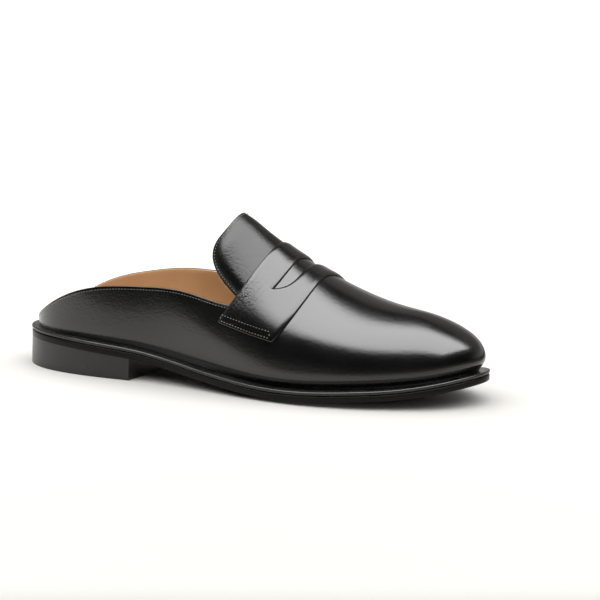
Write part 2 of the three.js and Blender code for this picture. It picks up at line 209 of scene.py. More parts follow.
def weld(grids, closer=2e-6):
    """One list of points and faces from grids of points (rows, columns, 3): points that lie together become
    one, and quads that fold to a line or a point are dropped or become triangles."""
    points = np.vstack([grid.reshape(-1, 3) for grid in grids])
    quads = []
    start = 0
    for rows, columns in (grid.shape[:2] for grid in grids):
        index = start + np.arange(rows * columns).reshape(rows, columns)
        quad = np.stack([index[:-1, :-1], index[1:, :-1], index[1:, 1:], index[:-1, 1:]], -1)
        quads.append(quad.reshape(-1, 4))
        start += rows * columns
    keys = np.round(points / closer).astype(np.int64)
    _, first, same = np.unique(keys, axis=0, return_index=True, return_inverse=True)
    quads = same.reshape(-1)[np.vstack(quads)]
    doubled = quads == np.roll(quads, 1, axis=1)
    whole = quads[doubled.sum(1) == 0]
    folded = quads[doubled.sum(1) == 1]
    kept = ~doubled[doubled.sum(1) == 1]
    triangles = folded[kept].reshape(-1, 3)
    spread = (triangles[:, 0] != triangles[:, 2]) & (triangles[:, 0] != triangles[:, 1])
    whole = whole[(whole[:, 0] != whole[:, 2]) & (whole[:, 1] != whole[:, 3])]
    return points[first], whole, triangles[spread]


def mesh_piece(name, points, quads, triangles, node=None, slot=None):
    """A mesh object at the origin, its points moved from the last's frame to the shoe's, shaded smooth but
    for its square corners."""
    mesh = bpy.data.meshes.new(name)
    mesh.from_pydata((points + PLACE).tolist(), [], quads.tolist() + triangles.tolist())
    mesh.shade_smooth()
    mesh.set_sharp_from_angle(angle=math.radians(50))
    mesh.update()
    piece = bpy.data.objects.new(name, mesh)
    bpy.context.scene.collection.objects.link(piece)
    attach(piece, "root")
    if node:
        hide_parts(node)
    return piece


def plate(edge, top_at, foot_at, hoops, columns, profile):
    """Grids of a plate: a top and an underside lerped across between the two sides of its outline, and a side
    carried round it. profile rows are (inset, share of the height), from the foot up; edge(turn, inset,
    height) is the outline there."""
    shares = np.asarray(columns)

    def across(inset, height, height_at):
        lateral = edge(hoops / 2, inset, height)
        medial = edge(1 - hoops / 2, inset, height)
        weight = (shares[None, :, None] + 1) / 2
        place = lateral[:, None] * (1 - weight) + medial[:, None] * weight
        return np.dstack([place, height_at(place[..., 0], shares[None, :] + 0 * place[..., 0])])

    top = across(profile[-1][0], 1, top_at)
    foot = across(profile[0][0], 0, foot_at)
    sides = []
    for side in (0, -1):
        rings = []
        for inset, height in profile:
            outline = across(inset, height, foot_at)[:, side]
            roof = across(inset, height, top_at)[:, side]
            rings.append(outline * (1 - height) + roof * height)
        sides.append(np.stack(rings, axis=1))
    sides[0][:, -1] = top[:, 0]
    sides[0][:, 0] = foot[:, 0]
    sides[1][:, -1] = top[:, -1]
    sides[1][:, 0] = foot[:, -1]
    grids = [top, foot[:, ::-1], sides[0], sides[1][:, ::-1]]
    if hoops[-1] < 1:
        steps = np.linspace(0, 1, len(shares))[None, :, None]
        breast = sides[0][-1][:, None] * (1 - steps) + sides[1][-1][:, None] * steps
        breast[0] = foot[-1]
        breast[-1] = top[-1]
        grids.append(breast[::-1])
    return grids


def rounded(height, radius, steps=4):
    """Profile rows of a side with both edges rounded: (inset, share of the height)."""
    turn = np.linspace(0, math.pi / 2, steps + 1)
    inset = radius * (1 - np.sin(turn))
    rise = radius * (1 - np.cos(turn)) / height
    lower = list(zip(inset, rise))
    return lower + [(i, 1 - r) for i, r in reversed(lower)]


def node_group(name, inputs, outputs):
    """An empty node group with float inputs and outputs and a Vector input, and its two end nodes."""
    group = bpy.data.node_groups.new(name, "ShaderNodeTree")
    group.interface.new_socket("Vector", in_out="INPUT", socket_type="NodeSocketVector")
    for socket in inputs:
        group.interface.new_socket(socket, in_out="INPUT", socket_type="NodeSocketFloat")
    for socket in outputs:
        group.interface.new_socket(socket, in_out="OUTPUT", socket_type="NodeSocketFloat")
    return group, group.nodes.new("NodeGroupInput"), group.nodes.new("NodeGroupOutput")


def math_node(tree, operation, first, second):
    """A Math node on two sockets or numbers, and its output."""
    node = tree.nodes.new("ShaderNodeMath")
    node.operation = operation
    for socket, value in zip(node.inputs, (first, second)):
        if isinstance(value, (int, float)):
            socket.default_value = value
        else:
            tree.links.new(value, socket)
    return node.outputs[0]


def leather_grain_group():
    """Leather's grain: rounded cells between fine creases, from a Voronoi pattern broken up by noise, with a
    second one half as coarse and a third as deep laid over it, and a slow unevenness of tone."""
    group, start, end = node_group("leather_grain", ["Cells per Metre"], ["Height", "Tone"])
    per_metre = start.outputs["Cells per Metre"]
    wander = group.nodes.new("ShaderNodeTexNoise")
    wander.inputs["Detail"].default_value = 4
    wander.inputs["Roughness"].default_value = 0.6
    cells = group.nodes.new("ShaderNodeTexVoronoi")
    fine = group.nodes.new("ShaderNodeTexVoronoi")
    for voronoi in (cells, fine):
        voronoi.feature = "SMOOTH_F1"
        voronoi.inputs["Smoothness"].default_value = 0.4
    tone = group.nodes.new("ShaderNodeTexNoise")
    tone.inputs["Scale"].default_value = 38
    tone.inputs["Detail"].default_value = 5
    for node in (wander, cells, fine, tone):
        group.links.new(start.outputs["Vector"], node.inputs["Vector"])
    group.links.new(per_metre, cells.inputs["Scale"])
    group.links.new(math_node(group, "MULTIPLY", per_metre, 2.3), fine.inputs["Scale"])
    group.links.new(math_node(group, "MULTIPLY", per_metre, 0.45), wander.inputs["Scale"])
    grain = math_node(group, "MULTIPLY", cells.outputs["Distance"], -0.55)
    grain = math_node(group, "ADD", grain, math_node(group, "MULTIPLY", fine.outputs["Distance"], -0.2))
    height = math_node(group, "ADD", grain, wander.outputs["Fac"])
    group.links.new(height, end.inputs["Height"])
    group.links.new(tone.outputs["Fac"], end.inputs["Tone"])
    return group


def burnish_group():
    """A pared and waxed edge: fine streaks level round the shoe, and scuffs where the wax is thin."""
    group, start, end = node_group("burnished_edge", ["Streaks per Metre"], ["Streak", "Scuff"])
    level = group.nodes.new("ShaderNodeMapping")
    level.inputs["Scale"].default_value = (0.03, 0.03, 1)
    streak = group.nodes.new("ShaderNodeTexNoise")
    streak.inputs["Detail"].default_value = 3
    scuff = group.nodes.new("ShaderNodeTexNoise")
    scuff.inputs["Scale"].default_value = 90
    scuff.inputs["Detail"].default_value = 6
    group.links.new(start.outputs["Vector"], level.inputs["Vector"])
    group.links.new(level.outputs["Vector"], streak.inputs["Vector"])
    group.links.new(start.outputs["Streaks per Metre"], streak.inputs["Scale"])
    group.links.new(start.outputs["Vector"], scuff.inputs["Vector"])
    group.links.new(streak.outputs["Fac"], end.inputs["Streak"])
    group.links.new(scuff.outputs["Fac"], end.inputs["Scuff"])
    return group


leather_grain = leather_grain_group()
burnished_edge = burnish_group()


def surface_material(name, group, per_metre, colours, gloss, depth, coat=(0.0, 0.1), specular=0.5):
    """A finish whose pattern group gives a height and a second value: colours and gloss are each a pair, at
    the second value's low and high end, depth the relief in metres, coat its weight and roughness."""
    material = bpy.data.materials.new(name)
    material.use_nodes = True
    tree = material.node_tree
    shader = tree.nodes["Principled BSDF"]
    place = tree.nodes.new("ShaderNodeTexCoord")
    pattern = tree.nodes.new("ShaderNodeGroup")
    pattern.node_tree = group
    pattern.inputs[1].default_value = per_metre
    tree.links.new(place.outputs["Object"], pattern.inputs["Vector"])
    tint = tree.nodes.new("ShaderNodeMix")
    tint.data_type = "RGBA"
    tint.inputs[6].default_value = (*colours[0], 1)
    tint.inputs[7].default_value = (*colours[1], 1)
    tree.links.new(pattern.outputs[1], tint.inputs[0])
    tree.links.new(tint.outputs[2], shader.inputs["Base Color"])
    shine = tree.nodes.new("ShaderNodeMapRange")
    shine.inputs["From Min"].default_value = 0.3
    shine.inputs["From Max"].default_value = 0.7
    shine.inputs["To Min"].default_value = gloss[0]
    shine.inputs["To Max"].default_value = gloss[1]
    tree.links.new(pattern.outputs[1], shine.inputs["Value"])
    tree.links.new(shine.outputs["Result"], shader.inputs["Roughness"])
    relief = tree.nodes.new("ShaderNodeBump")
    relief.inputs["Distance"].default_value = depth
    tree.links.new(pattern.outputs[0], relief.inputs["Height"])
    tree.links.new(relief.outputs["Normal"], shader.inputs["Normal"])
    shader.inputs["Specular IOR Level"].default_value = specular
    shader.inputs["Coat Weight"].default_value = coat[0]
    shader.inputs["Coat Roughness"].default_value = coat[1]
    return material


outsole = mesh_piece(
    "outsole_leather",
    *weld(plate(
        outsole_edge,
        lambda x, share: outsole_top(x),
        outsole_foot,
        (1 - np.cos(np.pi * np.linspace(0, 1, 261))) / 2,
        np.sin(np.linspace(-np.pi / 2, np.pi / 2, 33)),
        rounded(OUTSOLE_EDGE, EDGE_ROUND),
    )),
    node="outsole",
    slot="sole_leather",
)
# Its colours are darker than the heel's and the welt's, though all are the same blacking: painted shade along
# the sole's edge, whose lower half faces the floor
outsole.data.materials.append(surface_material(
    "waxed_black_sole_painted_shade", burnished_edge, 5200,
    colours=((0.0035, 0.0034, 0.0033), (0.0070, 0.0067, 0.0064)),
    gloss=(0.27, 0.38),
    depth=0.00003,
    specular=0.12,
))

# Heel
# Lifts of heel leather, nailed and pared flush with the outsole, under the seat. The breast is cut straight
# across, and the whole stack is blacked and waxed with the sole's edge, so that no joint shows.
HEEL_FLARE = 0.0005
HEEL_HEIGHT = 0.0168
HEEL_ROUND = 0.0004


def hoop_at(x):
    """The hoop that stands at a place along the last."""
    hoops = np.linspace(0, 1, 4001)
    places = (feather_edge(hoops / 2)[:, 0] + feather_edge(1 - hoops / 2)[:, 0]) / 2
    return np.interp(x, places, hoops)


heel = mesh_piece(
    "heel_block",
    *weld(plate(
        lambda turn, inset, height: sole_edge(turn, HEEL_FLARE * (1 - height) - inset),
        lambda x, share: outsole_top(x) - OUTSOLE_EDGE,
        lambda x, share: 0 * x,
        hoop_at(HEEL_LENGTH) * (1 - np.cos(np.pi / 2 * np.linspace(0, 1, 131))),
        np.linspace(-1, 1, 25),
        rounded(HEEL_HEIGHT, HEEL_ROUND, 3)[:4] + [(0.0, height) for height in (0.07, 0.2, 0.5, 0.8, 1.0)],
    )),
    node="heel",
    slot="heel_stack",
)
heel.data.materials.append(surface_material(
    "waxed_black_edge", burnished_edge, 5200,
    colours=((0.0065, 0.0063, 0.0062), (0.012, 0.0115, 0.011)),
    gloss=(0.27, 0.38),
    depth=0.00003,
))

# Welt
# A strip of welt leather, 2 mm thick, sewn to the upper all round and through to the outsole. Its outer edge
# stands a hair proud of the sole's, over a fine groove, and another shallow groove runs along its top.
WELT_TURNS = 900
UPPER_WALL = 0.002
FOOT_TUCK = 0.0015


def welt_ring(turn):
    """Closed profile of the welt at each turn, anticlockwise seen against the turn: (rows, points, 3)."""
    low = LAYER_GAP * 0.2
    high = WELT_THICKNESS
    profile = np.array([
        (-0.0004, low), (0.0, low + 0.0003), (0.0003, low + 0.0009), (0.0003, high - 0.0006),
        (0.0001, high - 0.0002), (-0.0004, high), (-0.0010, high - 0.0001), (-0.0020, high),
    ])
    outer = [sole_edge(turn, inset) for inset, _ in profile]
    heights = [height for _, height in profile]
    inner = edge_out(turn, -UPPER_WALL - FOOT_TUCK)
    points = outer + [inner, inner]
    heights += [high, low]
    ring = [np.column_stack([p, sole_top(p[:, 0]) - WELT_THICKNESS + h]) for p, h in zip(points, heights)]
    return np.stack(ring + [ring[0]], axis=1)


welt = mesh_piece(
    "welt_strip",
    *weld([welt_ring(np.linspace(0, 1, WELT_TURNS + 1))]),
    node="welt",
    slot="welt_leather",
)
welt.data.materials.append(surface_material(
    "waxed_black_welt", burnished_edge, 4200,
    colours=((0.006, 0.006, 0.006), (0.012, 0.0115, 0.011)),
    gloss=(0.24, 0.34),
    depth=0.00002,
))

# Insole
# A leather insole board with a tan calf sock glued over it. It lies inside the upper, hollowed by half a
# millimetre along its middle, and its edge is hidden by the lining.
INSOLE_THICKNESS = 0.0024
INSOLE_HOLLOW = 0.0005


def insole_edge(turn, inset, height):
    """Outline of the insole inside the upper's wall: the board's, and above it the sock's, which is wider."""
    return edge_out(turn, -UPPER_WALL - FOOT_TUCK * (1 - 0.4 * height) - LAYER_GAP - inset)


def insole_top(x, share):
    """Top of the sock: a parabola of the hollow's depth across."""
    return sole_top(x) + INSOLE_THICKNESS - INSOLE_HOLLOW * (1 - share ** 2)


insole = mesh_piece(
    "insole_sock",
    *weld(plate(
        insole_edge,
        insole_top,
        lambda x, share: outsole_top(x) + LAYER_GAP,
        (1 - np.cos(np.pi * np.linspace(0, 1, 201))) / 2,
        np.linspace(-1, 1, 25),
        rounded(INSOLE_THICKNESS + WELT_THICKNESS, 0.0006, 3),
    )),
    node="insole",
    slot="tan_leather",
)
tan_calf = surface_material(
    "tan_lining_calf", leather_grain, 1300,
    colours=((0.385, 0.215, 0.095), (0.51, 0.312, 0.160)),
    gloss=(0.42, 0.55),
    depth=0.00005,
    specular=0.4,
)
insole.data.materials.append(tan_calf)

# Upper
# Vamp, quarters and tongue of black box calf, 0.9 mm thick, lasted over the form and drawn in under the foot.
# The topline and the tongue's edge are folded over and stitched, and the lining stops just under the fold.
INSTEP_RISE = 0.100
COLLAR_RISE = 0.041
TUCK_HEIGHT = 0.0035
LASTED_RIDGE = (0.0010, 0.0060, 0.0055)
LASTED_HOLLOW = (0.0005, 0.0210, 0.0080)
THROAT_BACK = 0.164
TONGUE_LENGTH = 0.031
RIDGE_START = 0.12 * LAST_LENGTH
RIDGE_END = 0.865 * LAST_LENGTH
RIDGE_SOFTNESS = 0.05 * LAST_LENGTH
BULGE_PEAK = 0.325
CALF = 0.0009
CALF_BLACK = ((0.0016, 0.0016, 0.0017), (0.0030, 0.0029, 0.0029))
TONGUE_CURL = (0.0032, 0.0105)
TONGUE_FRONT = 0.172
TOPLINE_HEIGHTS = (0.0425, 0.0462)

# Back edge of the tongue: share of the way from the throat to the ridge, share of the tongue's length back
TONGUE_EDGE = np.array([
    (0.000, 0.00),
    (0.035, 0.30),
    (0.080, 0.72),
    (0.140, 0.94),
    (0.220, 1.00),
    (0.340, 0.96),
    (0.520, 0.84),
    (0.750, 0.74),
    (1.000, 0.70),
])


def ridge_place(x):
    """Where on the ridge the rib from x ends: x itself, eased to a stop near heel and toe."""
    ease = lambda value: RIDGE_SOFTNESS * np.log1p(np.exp(value / RIDGE_SOFTNESS))
    return RIDGE_START + ease(x - RIDGE_START) - ease(x - RIDGE_END)


def last_surface(hoop, degrees):
    """Points of the last. A rib runs from the feather edge to the ridge: reach = cos(a) (1 + bulge sin(a)
    cos(a)^3 / 0.325) towards the edge, height = rise sin(a)^full over the sole. Its foot is drawn in by
    tuck exp(-(height / tuck height)^2), and round the forepart the leather swells over it in a low ridge,
    with a slight hollow above: size exp(-((height - middle) / width)^2)."""
    hoop, degrees = np.broadcast_arrays(hoop, degrees)
    lateral = feather_edge(hoop / 2)
    medial = feather_edge(1 - hoop / 2)
    middle = ridge_place((lateral[..., 0] + medial[..., 0]) / 2)
    foot = np.where((degrees <= 90)[..., None], lateral, medial)
    angle = np.radians(np.minimum(degrees, 180 - degrees))
    sine = np.maximum(np.sin(angle), 0)
    cosine = np.maximum(np.cos(angle), 0)
    bulge = section_at(foot[..., 0], "bulge")
    reach = cosine * (1 + bulge * sine * cosine ** 3 / BULGE_PEAK)
    side = -0.033 * BALL_WIDTH * np.exp(-((middle / LAST_LENGTH - 0.68) / 0.22) ** 2)
    way = foot - np.stack([middle, side], axis=-1)
    x = middle + way[..., 0] * reach
    y = side + way[..., 1] * reach
    rise = INSTEP_RISE * section_at(x, "ridge") * sine ** section_at(foot[..., 0], "full")
    inward = FOOT_TUCK * np.exp(-(rise / TUCK_HEIGHT) ** 2)
    inward = inward * (0.3 + 0.7 * smooth_step(x, 0, 0.3 * LAST_LENGTH))
    forepart = smooth_step(rise, 0, 0.004) * smooth_step(x, 0.45 * LAST_LENGTH, 0.7 * LAST_LENGTH)
    for sign, (size, height, width) in ((-1, LASTED_RIDGE), (1, LASTED_HOLLOW)):
        inward = inward + sign * size * np.exp(-((rise - height) / width) ** 2) * forepart
    way *= (inward / np.linalg.norm(way, axis=-1))[..., None]
    x = x - way[..., 0]
    return np.stack([x, y - way[..., 1], sole_top(x) + rise + LAYER_GAP], axis=-1)


def surface_frames(hoop, degrees):
    """Points of the last at each (hoop, angle), with outward normals from small steps both ways."""
    here = last_surface(hoop, degrees)
    along = last_surface(hoop + 0.001, degrees) - last_surface(hoop - 0.001, degrees)
    across = last_surface(hoop, degrees + 0.5) - last_surface(hoop, degrees - 0.5)
    normal = np.cross(along, across)
    return here, normal / np.linalg.norm(normal, axis=-1, keepdims=True)


def angle_at_rise(hoop, rise):
    """The angle at which a hoop reaches a rise over the sole."""
    x = feather_edge(np.asarray(hoop) / 2)[..., 0]
    share = np.minimum(rise / (INSTEP_RISE * section_at(x, "ridge")), 1)
    return np.degrees(np.arcsin(share ** (1 / section_at(x, "full"))))


def topline_angle(hoop, side, below=0.0):
    """The angle at which a hoop crosses the topline of its side, or a line below it."""
    topline = COLLAR_RISE * section_at(feather_edge(np.asarray(hoop) / 2)[..., 0], side)
    return angle_at_rise(hoop, topline - below)


def angle_at_turn(turn, lateral, medial):
    """Angle across a hoop: turn 0 at the lateral side's start, 1 at the ridge, 2 at the medial one's."""
    return np.where(turn <= 1, lateral + (90 - lateral) * turn, 90 + (90 - medial) * (turn - 1))


throat = float(hoop_at(THROAT_BACK))
throat_angles = [float(topline_angle(throat, side)) for side in ("lateral", "medial")]
tongue_rows = np.vstack([TONGUE_EDGE, (TONGUE_EDGE[:-1] * [-1, 1] + [2, 0])[::-1]])
tongue_controls = spline_through(tongue_rows, False)


def tongue_edge(place):
    """Turn and hoop of the tongue's back edge, place 0 to 1 from the lateral throat to the medial one."""
    turn, back = spline_at(tongue_controls, place * (len(tongue_controls) - 1), False).T
    return turn, hoop_at(THROAT_BACK - TONGUE_LENGTH * back)


def tongue_surface(hoop, degrees):
    """Points and normals of the tongue, whose border curls down by depth (1 - distance / reach)^2, by less
    near the ridge."""
    points, normals = surface_frames(hoop, degrees)
    turn, edge_hoop = tongue_edge(np.linspace(0, 1, 200))
    edge = last_surface(edge_hoop, angle_at_turn(turn, *throat_angles))
    distance = np.linalg.norm(points[..., None, :] - edge, axis=-1).min(-1)
    depth, reach = TONGUE_CURL
    fall = depth * np.maximum(1 - distance / reach, 0) ** 2 * smooth_step(throat - hoop, 0, 0.02)
    fall *= 0.3 + 0.7 * smooth_step(np.abs(degrees - 90), 0, 30)
    return points - normals * fall[..., None], normals


def upper_grids(trim):
    """Grids of the upper's skin: two quarters, vamp and tongue, cut back from the open edges by trim."""
    wall = np.linspace(0, 1, 29) ** 1.5
    quarter = throat * (0.6 * np.linspace(0, 1, 141) + 0.4 * np.linspace(0, 1, 141) ** 2)
    grids = []
    for side in ("lateral", "medial"):
        top = topline_angle(quarter, side, trim)
        angles = top[:, None] * wall
        if side == "medial":
            angles = 180 - angles[:, ::-1]
        grids.append(last_surface(quarter[:, None], angles))
    starts = [float(topline_angle(throat, side, trim)) for side in ("lateral", "medial")]
    turn, edge_hoop = tongue_edge(np.linspace(0, 1, 129))
    cut = 30 * trim * np.minimum(1, 12 * np.minimum(turn, 2 - turn))
    edge_hoop = np.minimum(edge_hoop + cut * (throat - edge_hoop.min()), throat)
    share = np.linspace(0, 1, 131)[:, None]
    hoops = throat + (1 - throat) * (1.25 * share - 0.25 * share ** 2)
    lateral = starts[0] * (1 - share) + sum(starts) / 2 * share
    medial = starts[1] * (1 - share) + sum(starts) / 2 * share
    crest = angle_at_turn(turn[None, 1:-1], lateral, medial)
    angles = np.hstack([lateral * wall, crest, 180 - medial * wall[::-1]])
    grids.append(last_surface(hoops + 0 * angles, angles))
    rows = np.linspace(0, 1, 41)[:, None]
    hoops = edge_hoop * (1 - rows) + throat * rows
    grids.append(tongue_surface(hoops, angle_at_turn(turn[None, :], *starts) + 0 * rows)[0])
    return grids


def point_normals(points, quads, triangles):
    """Normals of the points, as the sum of their faces' area vectors."""
    normals = np.zeros_like(points)
    for faces in (quads, triangles):
        first, second = faces[:, 0], faces[:, 1]
        third, fourth = faces[:, 2], faces[:, -1]
        area = np.cross(points[third] - points[first], points[fourth] - points[second])
        if faces.shape[1] == 3:
            area = np.cross(points[second] - points[first], points[third] - points[first])
        for corner in range(faces.shape[1]):
            np.add.at(normals, faces[:, corner], area)
    return normals / np.maximum(np.linalg.norm(normals, axis=1, keepdims=True), 1e-20)


def open_edges(quads, triangles):
    """Directed edges that belong to one face only, the face on their left."""
    edges = np.vstack([np.stack([faces[:, i], faces[:, (i + 1) % faces.shape[1]]], 1)
                       for faces in (quads, triangles) for i in range(faces.shape[1])])
    key = edges.min(1).astype(np.int64) * (edges.max() + 1) + edges.max(1)
    _, index, count = np.unique(key, return_index=True, return_counts=True)
    return edges[index[count == 1]]


def leather_wall(points, quads, triangles, outward, inward, steps=6, swell=0.8):
    """A closed skin of leather between two offsets along the normals, its open edges rounded by half a turn
    that swells out in the surface."""
    normals = point_normals(points, quads, triangles)
    edges = open_edges(quads, triangles)
    away = np.zeros_like(points)
    along = points[edges[:, 1]] - points[edges[:, 0]]
    aside = np.cross(along, normals[edges[:, 0]])
    for end in (0, 1):
        np.add.at(away, edges[:, end], aside)
    length = np.linalg.norm(away, axis=1, keepdims=True)
    away /= np.maximum(length, 1e-20)
    rim = np.unique(edges)
    place = np.zeros(len(points), int)
    place[rim] = np.arange(len(rim))
    count = len(points)
    thick = outward + inward
    rings = []
    for turn in np.linspace(0, math.pi, steps + 1)[1:-1]:
        depth = outward - thick * (1 - math.cos(turn)) / 2
        reach = thick / 2 * math.sin(turn) * swell
        rings.append(points[rim] + normals[rim] * depth + away[rim] * reach)
    layers = [points + normals * outward, *rings, points - normals * inward]
    starts = np.cumsum([0] + [len(layer) for layer in layers])

    def ring_index(k, vertices):
        if k == 0:
            return vertices
        if k == len(layers) - 1:
            return vertices + starts[k]
        return place[vertices] + starts[k]

    rim_quads = [np.stack([ring_index(k, edges[:, 1]), ring_index(k, edges[:, 0]),
                           ring_index(k + 1, edges[:, 0]), ring_index(k + 1, edges[:, 1])], 1)
                 for k in range(len(layers) - 1)]
    inner = starts[-2]
    all_quads = np.vstack([quads, quads[:, ::-1] + inner, *rim_quads])
    all_triangles = np.vstack([triangles, triangles[:, ::-1] + inner])
    return np.vstack(layers), all_quads, all_triangles


upper = mesh_piece(
    "upper_calf",
    *leather_wall(*weld(upper_grids(0.0)), 0.0, CALF),
    node="upper",
    slot="black_calf",
)
black_calf = surface_material(
    "polished_black_calf", leather_grain, 900,
    colours=CALF_BLACK,
    gloss=(0.19, 0.25),
    depth=0.00008,
    coat=(0.35, 0.08),
)
upper.data.materials.append(black_calf)

# The tongue is left duller than the vamp: its faces stand above the toplines, behind the strap
upper.data.materials.append(surface_material(
    "dull_black_calf", leather_grain, 750,
    colours=CALF_BLACK,
    gloss=(0.20, 0.32),
    depth=0.00010,
    specular=0.40,
))
middles = np.empty(len(upper.data.polygons) * 3)
upper.data.polygons.foreach_get("center", middles)
middles = middles.reshape(-1, 3) - PLACE
above = middles[:, 2] - sole_top(middles[:, 0]) > np.where(middles[:, 1] < 0, *TOPLINE_HEIGHTS)
upper.data.polygons.foreach_set("material_index", (above & (middles[:, 0] < TONGUE_FRONT)).astype(np.int32))

# Lining
# Tan calf, 1.1 mm thick, glued inside vamp, quarters and tongue, and trimmed a hair below the fold.
LINING_TRIM = 0.0003
GLUE = 0.00002
lining = mesh_piece(
    "lining_calf",
    *leather_wall(*weld(upper_grids(LINING_TRIM)), -CALF - GLUE, UPPER_WALL, steps=4),
    slot="tan_leather",
)
lining.data.materials.append(tan_calf)

# Saddle strap
# A band of the same calf, laid over the instep and sewn down at both feet, that stands 1.6 mm over the vamp.
# A lens-shaped slot is cut through its middle, and its cut edges are rolled and blacked.
STRAP_HEIGHT = 0.0016
STRAP_SUNK = 0.0002
STRAP_FOOT_RISE = 0.0303
STRAP_FOOT_FALL = 0.0042
STRAP_BACK_TOP = 0.1683
STRAP_BACK_FOOT = 0.146
STRAP_BACK_SWEEP = 2.4
STRAP_FRONT_TOP = 0.1987
STRAP_FRONT_FOOT = 0.1844
STRAP_FRONT_SWEEP = 3.3
SLOT_TURN = 0.388
SLOT_TIP = 0.1754
SLOT_BACK = 0.1808
SLOT_SWEEP = 3.1
SLOT_WIDTH = 0.0085
SLOT_ROUND = 8
STRAP_REACH = 0.062
STRAP_ROLL = (0.0004, 0.0017)
BEND_WIDTH = 0.013
BEND_HEIGHT = 0.058
BEND_LEAST = 0.22

# Fine wrinkles where the strap bends over the throat, each from one place to another: how far up from the
# strap's foot and in from its back edge, then its depth and half width
STRAP_WRINKLES = np.array([
    (0.0065, 0.0020, 0.0150, 0.0035, 0.000035, 0.0006),
    (0.0090, 0.0050, 0.0200, 0.0060, 0.000040, 0.0007),
    (0.0080, 0.0085, 0.0165, 0.0100, 0.000030, 0.0006),
    (0.0120, 0.0120, 0.0230, 0.0125, 0.000035, 0.0007),
    (0.0150, 0.0020, 0.0260, 0.0040, 0.000040, 0.0006),
    (0.0190, 0.0045, 0.0290, 0.0075, 0.000030, 0.0005),
    (0.0175, 0.0090, 0.0280, 0.0105, 0.000040, 0.0007),
    (0.0110, 0.0150, 0.0190, 0.0165, 0.000025, 0.0006),
    (0.0240, 0.0015, 0.0330, 0.0030, 0.000025, 0.0005),
    (0.0120, 0.0015, 0.0160, 0.0075, 0.000025, 0.0006),
    (0.0180, 0.0020, 0.0215, 0.0095, 0.000025, 0.0006),
    (0.0220, 0.0030, 0.0250, 0.0120, 0.000020, 0.0006),
])


def climb(turn, start, sweep):
    """How far an edge has climbed from start to the ridge: 1 - (1 - share)^sweep."""
    share = (np.minimum(turn, 2 - turn) - start) / (1 - start)
    return 1 - (1 - np.maximum(share, 0)) ** sweep


def strap_foot(x):
    """Rise of the strap's foot over the sole, less towards its front edge."""
    return STRAP_FOOT_RISE - STRAP_FOOT_FALL * (x - STRAP_BACK_FOOT) / (STRAP_FRONT_FOOT - STRAP_BACK_FOOT)


def strap_surface(x, turn, fall):
    """Points of the upper under the strap, let down by fall: turn runs 0 to 2 from its lateral foot to its
    medial one."""
    hoop = hoop_at(x)
    foot = angle_at_rise(hoop, strap_foot(x))
    points, normals = surface_frames(hoop, angle_at_turn(turn, foot, foot))
    return points - normals * fall[..., None]


def strap_back(turn):
    """Place of the strap's back edge."""
    return STRAP_BACK_FOOT + (STRAP_BACK_TOP - STRAP_BACK_FOOT) * climb(turn, 0, STRAP_BACK_SWEEP)


def strap_front(turn):
    """Place of the strap's front edge."""
    return STRAP_FRONT_FOOT + (STRAP_FRONT_TOP - STRAP_FRONT_FOOT) * climb(turn, 0, STRAP_FRONT_SWEEP)


def slot_back(turn):
    """Place of the slot's back edge, and of the line between the two bands beyond its tips."""
    tip = (SLOT_TIP - strap_back(SLOT_TURN)) / (strap_front(SLOT_TURN) - strap_back(SLOT_TURN))
    beyond = strap_back(turn) + (strap_front(turn) - strap_back(turn)) * tip
    within = SLOT_TIP + (SLOT_BACK - SLOT_TIP) * climb(turn, SLOT_TURN, SLOT_SWEEP)
    return np.where(np.minimum(turn, 2 - turn) <= SLOT_TURN, beyond, within)


def slot_front(turn):
    """Place of the slot's front edge."""
    return slot_back(turn) + SLOT_WIDTH * climb(turn, SLOT_TURN, SLOT_ROUND)


def wrinkle_depth(x, turn):
    """Depth of the strap's wrinkles: soft troughs, depth exp(-(distance from its line / half width)^2)."""
    up = np.minimum(turn, 2 - turn) * STRAP_REACH + 0 * x
    place = np.stack([up, x - strap_back(turn)], axis=-1)
    total = 0
    for *ends, depth, width in STRAP_WRINKLES:
        first, way = np.array(ends[:2]), np.array(ends[2:]) - ends[:2]
        share = np.clip((place - first) @ way / (way @ way), 0, 1)
        distance = np.linalg.norm(place - first - share[..., None] * way, axis=-1)
        total = total + depth * np.exp(-(distance / width) ** 2)
    return total


def roll(distance):
    """Fall of the strap's surface near a cut edge: depth (1 - distance / reach)^2."""
    return STRAP_ROLL[0] * np.maximum(1 - distance / STRAP_ROLL[1], 0) ** 2


def strap_grids():
    """Grids of the back band and the front band, rolled at their edges and wrinkled."""
    share = np.linspace(0, 1, 71)
    slot = SLOT_TURN + (1 - SLOT_TURN) * (0.3 * share + 0.7 * share ** 2)
    half = np.concatenate([np.linspace(0, SLOT_TURN, 81)[:-1], slot])
    turn = np.concatenate([half, 2 - half[-2::-1]])[None, :]
    opened = smooth_step(slot_front(turn) - slot_back(turn), 0, 0.001)

    def band(rear, fore, count, rear_cut, fore_cut):
        rows = np.linspace(0, 1, count)[:, None]
        x = rear(turn) * (1 - rows) + fore(turn) * rows
        fall = rear_cut * roll(x - rear(turn)) + fore_cut * roll(fore(turn) - x) + wrinkle_depth(x, turn)
        return strap_surface(x, turn + 0 * x, fall)

    return [band(strap_back, slot_back, 49, 1, opened), band(slot_front, strap_front, 29, opened, 1)]


strap = mesh_piece(
    "saddle_strap_calf",
    *leather_wall(*weld(strap_grids()), STRAP_HEIGHT, STRAP_SUNK, swell=0.5),
    node="saddle_strap",
    slot="black_calf",
)

